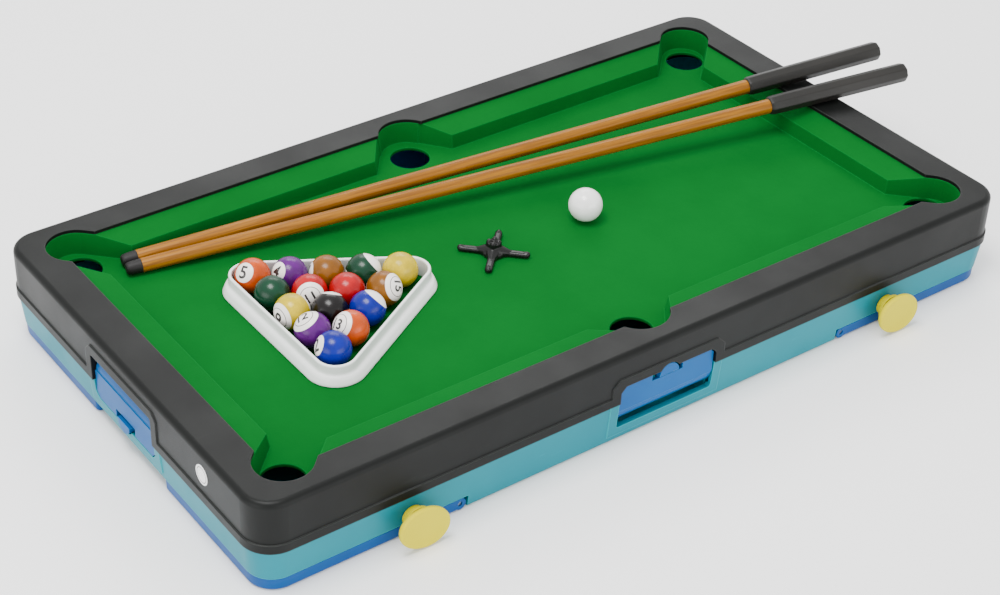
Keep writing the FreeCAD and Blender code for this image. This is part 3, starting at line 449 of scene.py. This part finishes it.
def number_mesh(text):
    """A number as a flat outline, cut into a fine grid so that it can wrap round the ball."""
    size = ONE_FIGURE_SIZE if len(text) == 1 else TWO_FIGURE_SIZE
    curve = bpy.data.curves.new("number_" + text, "FONT")
    curve.body = text
    curve.size = size
    curve.align_x = "CENTER"
    curve.align_y = "CENTER"
    curve.offset = STROKE_SWELL
    curve.resolution_u = 6
    holder = bpy.data.objects.new("number_holder", curve)
    bpy.context.scene.collection.objects.link(holder)
    bpy.context.view_layer.update()
    flat = bpy.data.meshes.new_from_object(holder)
    bpy.data.objects.remove(holder)
    mesh = bmesh.new()
    mesh.from_mesh(flat)
    bpy.data.meshes.remove(flat)
    xs = [vertex.co.x for vertex in mesh.verts]
    ys = [vertex.co.y for vertex in mesh.verts]
    middle = Vector(((min(xs) + max(xs)) / 2, (min(ys) + max(ys)) / 2, 0))
    for vertex in mesh.verts:
        vertex.co -= middle
    for line in range(-NUMBER_CUTS, NUMBER_CUTS + 1):
        for normal in ((1, 0, 0), (0, 1, 0)):
            cut = Vector(normal) * (line * size / NUMBER_CUTS + CUT_SHIFT)
            bmesh.ops.bisect_plane(mesh, geom=mesh.verts[:] + mesh.edges[:] + mesh.faces[:],
                                   plane_co=cut, plane_no=normal)
    return mesh


def wrapped(point, lift):
    """A flat point laid on the ball round its number pole, lifted off the surface."""
    flat = Vector((point.x, point.y))
    angle = flat.length / BALL_RADIUS
    if flat.length < 1e-9:
        return Vector((0, 0, BALL_RADIUS + lift))
    way = flat.normalized() * math.sin(angle) * (BALL_RADIUS + lift)
    return Vector((way.x, way.y, math.cos(angle) * (BALL_RADIUS + lift)))


BALL_CUTS = 40
SEAM_WIDTH = 0.012
SEAM_DEPTH = 0.000012


def round_ball(mesh):
    """A ball in square patches, with a hair-fine moulding seam round its middle."""
    bmesh.ops.create_cube(mesh, size=2.0)
    bmesh.ops.subdivide_edges(mesh, edges=mesh.edges[:], cuts=BALL_CUTS, use_grid_fill=True)
    for vertex in mesh.verts:
        warped = Vector([math.tan(part * math.pi / 4) for part in vertex.co])
        way = warped.normalized()
        seam = math.exp(-(way.x / SEAM_WIDTH) ** 2)
        vertex.co = way * (BALL_RADIUS - SEAM_DEPTH * seam)


def smooth_mesh(name, mesh, *materials):
    """Turns finished bmesh data into a smoothly shaded object."""
    for face in mesh.faces:
        face.smooth = True
    data = bpy.data.meshes.new(name)
    mesh.to_mesh(data)
    mesh.free()
    piece = bpy.data.objects.new(name, data)
    for material in materials:
        data.materials.append(material)
    bpy.context.scene.collection.objects.link(piece)
    return piece


PRINT_LIFT = 0.000015


def ball(node, number, turn, *materials):
    """A ball in its CAD place, with its number, if it has one, printed in the second material."""
    mesh = bmesh.new()
    round_ball(mesh)
    if number:
        print_mesh = number_mesh(str(number))
        for vertex in print_mesh.verts:
            vertex.co = wrapped(vertex.co, PRINT_LIFT)
        for face in print_mesh.faces:
            face.material_index = 1
        joined = bpy.data.meshes.new("number_print")
        print_mesh.to_mesh(joined)
        print_mesh.free()
        mesh.from_mesh(joined)
        bpy.data.meshes.remove(joined)
    piece = smooth_mesh(node + "_resin", mesh, *materials)
    low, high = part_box(node)
    piece.matrix_world = Matrix.Translation((low + high) / 2) @ turn.to_4x4()
    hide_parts(node)
    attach(piece, node)
    return piece


# in the order of the low numbers, and again in that of the high ones
BALL_COLOURS = {
    "yellow": (0.56, 0.41, 0.000, 1), "blue": (0.000, 0.006, 0.24, 1),
    "red": (0.38, 0.000, 0.004, 1), "purple": (0.085, 0.003, 0.140, 1),
    "orange": (0.50, 0.058, 0.000, 1), "green": (0.000, 0.036, 0.014, 1),
    "brown": (0.20, 0.070, 0.002, 1), "black": (0.004, 0.003, 0.003, 1)}
# where each ball's number faces, and which way its top points: right, up, near
BALL_FACES = {
    1: ((0.3, 0.2, -0.9), (0, 1, 0)), 2: ((-0.88, 0.22, 0.42), (-0.57, 0.82, 0)),
    3: ((0.2, -0.5, -0.8), (0, 1, 0)), 4: ((-0.70, 0.15, 0.70), (0.45, 0.89, 0)),
    5: ((-0.46, 0.20, 0.86), (0.20, 0.98, 0)), 6: ((-0.3, 0.1, -0.9), (0, 1, 0)),
    7: ((-0.98, 0.05, 0.17), (0, 1, 0)), 8: ((0.10, 0.99, -0.04), (1, 0, 0)),
    9: ((-0.74, -0.38, 0.55), (0.74, 0.67, 0)), 10: ((-0.64, -0.77, -0.02), (0, 1, 0)),
    11: ((0.11, -0.30, 0.95), (-0.47, 0.88, 0)), 12: ((-0.52, 0.715, 0.47), (-0.50, 0.85, 0.1)),
    13: ((-0.70, 0.27, 0.66), (0.26, 0.97, 0)), 14: ((-0.74, -0.66, -0.08), (0, 1, 0)),
    15: ((0.80, 0.16, 0.58), (0.99, 0.10, 0))}

ink = number_ink()
for order, (colour_name, colour) in enumerate(BALL_COLOURS.items()):
    for number, striped in ((order + 1, False), (order + 9, True)):
        if number not in BALL_FACES:
            continue
        kind = "ball_striped_" if striped else "ball_"
        finish = resin(kind + colour_name, colour, striped)
        piece = ball("ball_%02d" % number, number, ball_turn(*BALL_FACES[number]), finish, ink)


def cue_ball_white():
    material, tree, shader = start_material("ball_white")
    place = object_place(tree)
    cloud = noise_node(tree, place, 130.0, 4.0, 0.6)
    creamy, clear = (0.80, 0.79, 0.77, 1), (0.88, 0.875, 0.86, 1)
    wire(tree, shader.inputs["Base Color"],
         mix_colour(tree, ramp_node(tree, cloud, 0.3, 0.7), creamy, clear))
    wire(tree, shader.inputs["Roughness"], ramp_node(tree, cloud, 0.3, 0.7, 0.24, 0.15))
    shader.inputs["Coat Weight"].default_value = 0.4
    shader.inputs["Coat Roughness"].default_value = 0.08
    return material


cue_ball = ball("cue_ball", None, ball_turn((0.2, 0.3, 0.9), (0.6, 0.8, 0)), cue_ball_white())


# ------------------------------------------------------------------ triangle rack
# A triangle moulded in white styrene that lies loose on the bed. Its inner wall stands up
# to a rounded lip, and outside it a skirt slopes down to the bed. Its corners are round
# inside and out.

# along the centres of a side's five balls
RACK_SIDE = 0.0868
# from that line to the foot of the skirt
RACK_FOOT = 0.0195
CORNER_STEPS = 14
# a longer run between two points than this is a side, and is divided
CORNER_STEP_MOST = 0.02
SIDE_STEPS = 24


def rack_outline(offset, corner):
    """Points of a rounded triangle whose sides lie an offset outside the outer balls' centres."""
    reach = RACK_SIDE / math.sqrt(3) + 2 * (offset - corner)
    points = []
    for third in range(3):
        heading = third * 2 * math.pi / 3
        centre = Vector((math.cos(heading), math.sin(heading))) * reach
        for step in range(CORNER_STEPS + 1):
            angle = heading - math.pi / 3 + step / CORNER_STEPS * 2 * math.pi / 3
            points.append(centre + corner * Vector((math.cos(angle), math.sin(angle))))
    dense = []
    for index, point in enumerate(points):
        following = points[(index + 1) % len(points)]
        dense.append(point)
        if (following - point).length > CORNER_STEP_MOST:
            dense += [point.lerp(following, part / SIDE_STEPS) for part in range(1, SIDE_STEPS)]
    return dense


def rack_profile():
    """(offset, height, corner radius) round the section: bore, lip, outer wall and skirt."""
    bore = [(0.0131, 0.0, 0.0112), (0.0130, 0.0006, 0.0111), (0.0129, 0.0111, 0.0110)]
    lip_radius = 0.0010
    lip = []
    for step in range(9):
        turn = step * math.pi / 8
        reach = lip_radius * math.cos(math.pi - turn)
        lip.append((0.0139 + reach, 0.0112 + lip_radius * math.sin(turn), 0.0120 + reach))
    skirt = [(0.01490, 0.0106, 0.0130), (0.01500, 0.0076, 0.0131), (0.01520, 0.0064, 0.0134),
             (0.01570, 0.0057, 0.0140), (0.01640, 0.0054, 0.0149), (0.01715, 0.0049, 0.0159),
             (0.01800, 0.0036, 0.0169), (0.01885, 0.0018, 0.0179), (0.01945, 0.0006, 0.0186),
             (0.01935, 0.0001, 0.0185), (0.01900, 0.0, 0.0182)]
    return bore + lip + skirt


def rack_mesh():
    mesh = bmesh.new()
    rings = []
    for offset, height, corner in rack_profile():
        rings.append([mesh.verts.new((point.x, point.y, height))
                      for point in rack_outline(offset, corner)])
    for low, high in zip(rings, rings[1:] + rings[:1]):
        for index in range(len(low)):
            following = (index + 1) % len(low)
            mesh.faces.new((low[index], high[index], high[following], low[following]))
    bmesh.ops.recalc_face_normals(mesh, faces=mesh.faces[:])
    return mesh


rack_white = moulded_plastic(
    "rack_white", (0.80, 0.82, 0.80, 1), (0.92, 0.93, 0.92, 1),
    (0.76, 0.78, 0.76, 1), 0.26, grain=0.05, edge=0.0004, coat=0.25, rub=0.2)
rack = smooth_mesh("rack_moulding", rack_mesh(), rack_white)
low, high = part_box("triangle_rack")
rack.location = (low.x + RACK_SIDE / math.sqrt(12) + RACK_FOOT, (low.y + high.y) / 2, low.z)
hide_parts("triangle_rack")
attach(rack, "triangle_rack")


# ------------------------------------------------------------------ cues
# Each cue is a turned and varnished wooden shaft with lengthwise grain, a black plastic
# cap pushed on its tip, and an eight-sided black grip moulded over the thick end. It lies
# on the bed and on the rim at the right.

# the length at either end whose points give the middle of that end
END_LENGTH = 0.002


def course(node):
    """Where a cue runs: the middle of its thin end and its direction."""
    tip = [vertex.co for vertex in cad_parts[node + "_tip"].data.vertices]
    grip = [vertex.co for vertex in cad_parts[node + "_grip"].data.vertices]
    far = max(point.x for point in grip)
    near = min(point.x for point in tip)
    butt = [point for point in grip if point.x > far - END_LENGTH]
    nose = [point for point in tip if point.x < near + END_LENGTH]
    ends = [sum(group, Vector()) / len(group) for group in (nose, butt)]
    return ends[0], (ends[1] - ends[0]).normalized()


def turned(mesh, profile, sides, outline=None, start=Vector(), axis_turn=Matrix.Identity(3)):
    """Sweeps (distance, radius) pairs round an axis; an outline scales the radius by the angle."""
    rings = []
    for along, radius in profile:
        ring = []
        for side in range(sides):
            angle = 2 * math.pi * side / sides
            reach = radius if outline is None else radius * outline(angle)
            point = Vector((reach * math.cos(angle), reach * math.sin(angle), along))
            ring.append(mesh.verts.new(start + axis_turn @ point))
        rings.append(ring)
    for low, high in zip(rings, rings[1:]):
        for side in range(sides):
            following = (side + 1) % sides
            mesh.faces.new((low[side], low[following], high[following], high[side]))
    mesh.faces.new(rings[0][::-1])
    mesh.faces.new(rings[-1])


CORNER_EASE = 0.985


def octagon(angle):
    """Distance to an eight-sided outline of unit corner radius, with its corners eased."""
    sector = math.pi / 4
    within = (angle + sector / 2) % sector - sector / 2
    flat = math.cos(sector / 2) / math.cos(sector / 2 - abs(within))
    return min(flat, CORNER_EASE)


def wood_material():
    material, tree, shader = start_material("cue_wood")
    place = object_place(tree)
    along = tree.nodes.new("ShaderNodeMapping")
    wire(tree, along.inputs["Vector"], place)
    along.inputs["Scale"].default_value = (1.0, 1.0, 0.03)
    band = noise_node(tree, along.outputs[0], 620.0, 4.0, 0.6)
    pore_place = tree.nodes.new("ShaderNodeMapping")
    wire(tree, pore_place.inputs["Vector"], place)
    pore_place.inputs["Scale"].default_value = (1.0, 1.0, 0.06)
    pore = noise_node(tree, pore_place.outputs[0], 2600.0, 3.0, 0.7)
    broad = noise_node(tree, place, 18.0, 3.0, 0.5)
    dark_grain, pale_grain = (0.150, 0.050, 0.000, 1), (0.290, 0.115, 0.003, 1)
    varnish_tone, pore_tone = (0.185, 0.062, 0.000, 1), (0.055, 0.018, 0.001, 1)
    base = mix_colour(tree, ramp_node(tree, band, 0.32, 0.68), dark_grain, pale_grain)
    toned = mix_colour(tree, ramp_node(tree, broad, 0.35, 0.7, 0.0, 0.5), base, varnish_tone)
    pored = mix_colour(tree, ramp_node(tree, pore, 0.60, 0.72, 0.0, 0.6), toned, pore_tone)
    wire(tree, shader.inputs["Base Color"], pored)
    wire(tree, shader.inputs["Roughness"], ramp_node(tree, band, 0.3, 0.7, 0.46, 0.34))
    shader.inputs["Specular IOR Level"].default_value = 0.22
    bump = tree.nodes.new("ShaderNodeBump")
    bump.inputs["Strength"].default_value = 0.25
    bump.inputs["Distance"].default_value = 0.0001
    wire(tree, bump.inputs["Height"], pore)
    wire(tree, shader.inputs["Normal"], bump.outputs[0])
    return material


cue_wood = wood_material()
cue_black = moulded_plastic(
    "cue_grip", (0.013, 0.012, 0.0105, 1), (0.08, 0.078, 0.074, 1), (0.009, 0.0085, 0.0075, 1),
    0.42, grain=0.25, grain_size=0.0005, edge=0.0007, specular=0.25)
tip_black = moulded_plastic(
    "cue_tip", (0.010, 0.009, 0.009, 1), (0.05, 0.05, 0.05, 1), (0.007, 0.006, 0.006, 1),
    0.5, grain=0.3, grain_size=0.0005, edge=0.0005, specular=0.25)
# (distance from the thin end, radius) along each piece
SHAFT = [(0.0097, 0.00438), (0.0100, 0.0044), (0.1200, 0.00445), (0.2400, 0.0046), (0.3600, 0.0047),
         (0.4395, 0.0048), (0.4400, 0.0048)]
TIP = [(0.0, 0.0024), (0.0002, 0.0029), (0.0007, 0.0034), (0.0016, 0.00378), (0.0030, 0.0040),
       (0.0060, 0.0042), (0.0088, 0.00435), (0.0095, 0.00438), (0.0097, 0.0043)]
GRIP = [(0.4400, 0.0052), (0.4402, 0.0057), (0.4408, 0.0061), (0.4425, 0.00645), (0.4500, 0.0066),
        (0.5000, 0.0067), (0.5400, 0.0067), (0.5434, 0.0067), (0.5446, 0.0065), (0.5452, 0.0061),
        (0.5455, 0.0056)]

for cue in ("cue_1", "cue_2"):
    start, direction = course(cue)
    lie = direction.to_track_quat("Z", "Y").to_matrix()
    for part, profile, sides, outline, finish in (
            ("tip", TIP, 48, None, tip_black), ("shaft", SHAFT, 48, None, cue_wood),
            ("grip", GRIP, 96, octagon, cue_black)):
        mesh = bmesh.new()
        turned(mesh, profile, sides, outline)
        piece = smooth_mesh("%s_%s_turned" % (cue, part), mesh, finish)
        piece.matrix_world = Matrix.Translation(start) @ lie.to_4x4()
        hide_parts("%s_%s" % (cue, part))
        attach(piece, cue)


# ------------------------------------------------------------------ cue rest
# A small cross moulded in one piece in gloss black styrene, lying loose on the bed. Four
# thin arms widen into the middle, where a crown with four prongs stands up to steady the
# cue between them.

REST_ARM = 0.0203
# each peg along an arm: outward, beside and up at its two ends, its two radii, its sides
REST_PEGS = [
    # the arm, as two pegs side by side
    ((0, -0.0006, 0.0017), (REST_ARM, -0.0006, 0.0017), 0.0019, 0.0018, 16),
    ((0, 0.0006, 0.0017), (REST_ARM, 0.0006, 0.0017), 0.0019, 0.0018, 16),
    # where the arm widens into the middle
    ((0, 0, 0.0019), (0.0110, 0, 0.0019), 0.0062, 0.0016, 24),
    # the arm's round end
    ((REST_ARM - 0.0012, 0, 0.0019), (REST_ARM + 0.0004, 0, 0.0021), 0.0019, 0.0019, 16),
    # a prong of the crown
    ((0.0029, 0, 0.0030), (0.0029, 0, 0.0085), 0.0021, 0.0019, 16)]
# (height, radius) up the body of the crown
REST_CROWN = [(0.001, 0.0074), (0.0026, 0.0070), (0.0036, 0.0058), (0.0046, 0.0046),
              (0.0056, 0.0042), (0.0086, 0.0041)]
REST_UNDERSIDE = 0.0002
# the least radius of a round end, so that its last ring doesn't close to one point
END_RADIUS = 1e-5


def blob(mesh, low, high, start_radius, end_radius, sides):
    """A tapered peg with round ends between two points."""
    way = high - low
    turns = [step / 4 * math.pi / 2 for step in range(5)]
    profile = [(-start_radius * math.cos(turn), max(END_RADIUS, start_radius * math.sin(turn)))
               for turn in turns]
    profile += [(way.length + end_radius * math.sin(turn),
                 max(END_RADIUS, end_radius * math.cos(turn))) for turn in turns]
    turned(mesh, profile, sides, start=low, axis_turn=way.to_track_quat("Z", "Y").to_matrix())


def rest_mesh():
    mesh = bmesh.new()
    for quarter in range(4):
        heading = math.radians(45 + 90 * quarter)
        out = Vector((math.cos(heading), math.sin(heading), 0))
        beside = Vector((-out.y, out.x, 0))
        for start, end, start_radius, end_radius, sides in REST_PEGS:
            low, high = [out * outward + (Vector((0, 0, up)) + beside * sideways)
                         for outward, sideways, up in (start, end)]
            blob(mesh, low, high, start_radius, end_radius, sides)
    turned(mesh, REST_CROWN, 32)
    bmesh.ops.bisect_plane(mesh, geom=mesh.verts[:] + mesh.edges[:] + mesh.faces[:],
                           plane_co=(0, 0, REST_UNDERSIDE), plane_no=(0, 0, -1), clear_outer=True)
    rims = [edge for edge in mesh.edges if edge.is_boundary]
    bmesh.ops.holes_fill(mesh, edges=rims, sides=0)
    return mesh


rest_black = moulded_plastic(
    "rest_black", (0.006, 0.006, 0.006, 1), (0.03, 0.03, 0.03, 1), (0.004, 0.004, 0.004, 1),
    0.30, grain=0.04, edge=0.0003, rub=0.1, specular=0.25)
rest = smooth_mesh("rest_moulding", rest_mesh(), rest_black)
remesh = rest.modifiers.new("one_body", "REMESH")
remesh.mode = "VOXEL"
remesh.voxel_size = 0.00035
remesh.use_smooth_shade = True
soften = rest.modifiers.new("soften", "SMOOTH")
soften.factor = 0.5
soften.iterations = 5
low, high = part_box("cue_rest")
rest.location = ((low.x + high.x) / 2, (low.y + high.y) / 2, low.z)
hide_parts("cue_rest")
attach(rest, "cue_rest")


# ------------------------------------------------------------------ floor, light and camera
# A plain pale floor just under the table, a broad soft light over the near left, weaker
# ones behind, at the left and in front, a white surround, and a camera over the near left
# corner.

# the floor lies this far under the table, so that the two surfaces don't coincide
FLOOR_DROP = 0.0005


def plain_floor():
    material, tree, shader = start_material("floor_pale")
    cloud = noise_node(tree, object_place(tree), 3.0, 2.0)
    wire(tree, shader.inputs["Base Color"],
         mix_colour(tree, cloud, (0.92, 0.92, 0.92, 1), (0.95, 0.95, 0.95, 1)))
    shader.inputs["Roughness"].default_value = 0.7
    mesh = bmesh.new()
    bmesh.ops.create_grid(mesh, x_segments=8, y_segments=8, size=6.0)
    floor = smooth_mesh("floor", mesh, material)
    floor.location.z = -FLOOR_DROP


LIGHT_AIM = (0, 0, 0.04)


def soft_light(name, place, size, power):
    lamp = bpy.data.lights.new(name, "AREA")
    lamp.shape = "RECTANGLE"
    lamp.size, lamp.size_y = size
    lamp.energy = power
    holder = bpy.data.objects.new(name, lamp)
    holder.location = place
    towards = Vector(LIGHT_AIM) - Vector(place)
    holder.rotation_euler = towards.to_track_quat("-Z", "Y").to_euler()
    bpy.context.scene.collection.objects.link(holder)


plain_floor()
soft_light("key", (-0.5, -0.1, 1.8), (0.9, 0.7), 40)
soft_light("back", (0.9, 1.3, 1.3), (1.2, 0.7), 14)
soft_light("left", (-1.8, -0.4, 0.5), (1.4, 0.8), 13)
soft_light("front", (0.3, -1.9, 0.5), (1.6, 0.8), 14)

world = bpy.data.worlds.new("studio")
world.use_nodes = True
background = world.node_tree.nodes["Background"]
background.inputs["Color"].default_value = (1.0, 1.0, 1.0, 1)
background.inputs["Strength"].default_value = 1.6
bpy.context.scene.world = world

lens = bpy.data.cameras.new("camera")
lens.sensor_width = 36.0
lens.lens = 73.38
lens.shift_x = 0.0591
lens.shift_y = -0.0222
camera = bpy.data.objects.new("camera", lens)
camera.location = (-0.64236, -0.82346, 0.73660)
camera.rotation_euler = Euler((math.radians(55.371), math.radians(-0.914), math.radians(-34.880)))
bpy.context.scene.collection.objects.link(camera)
bpy.context.scene.camera = camera
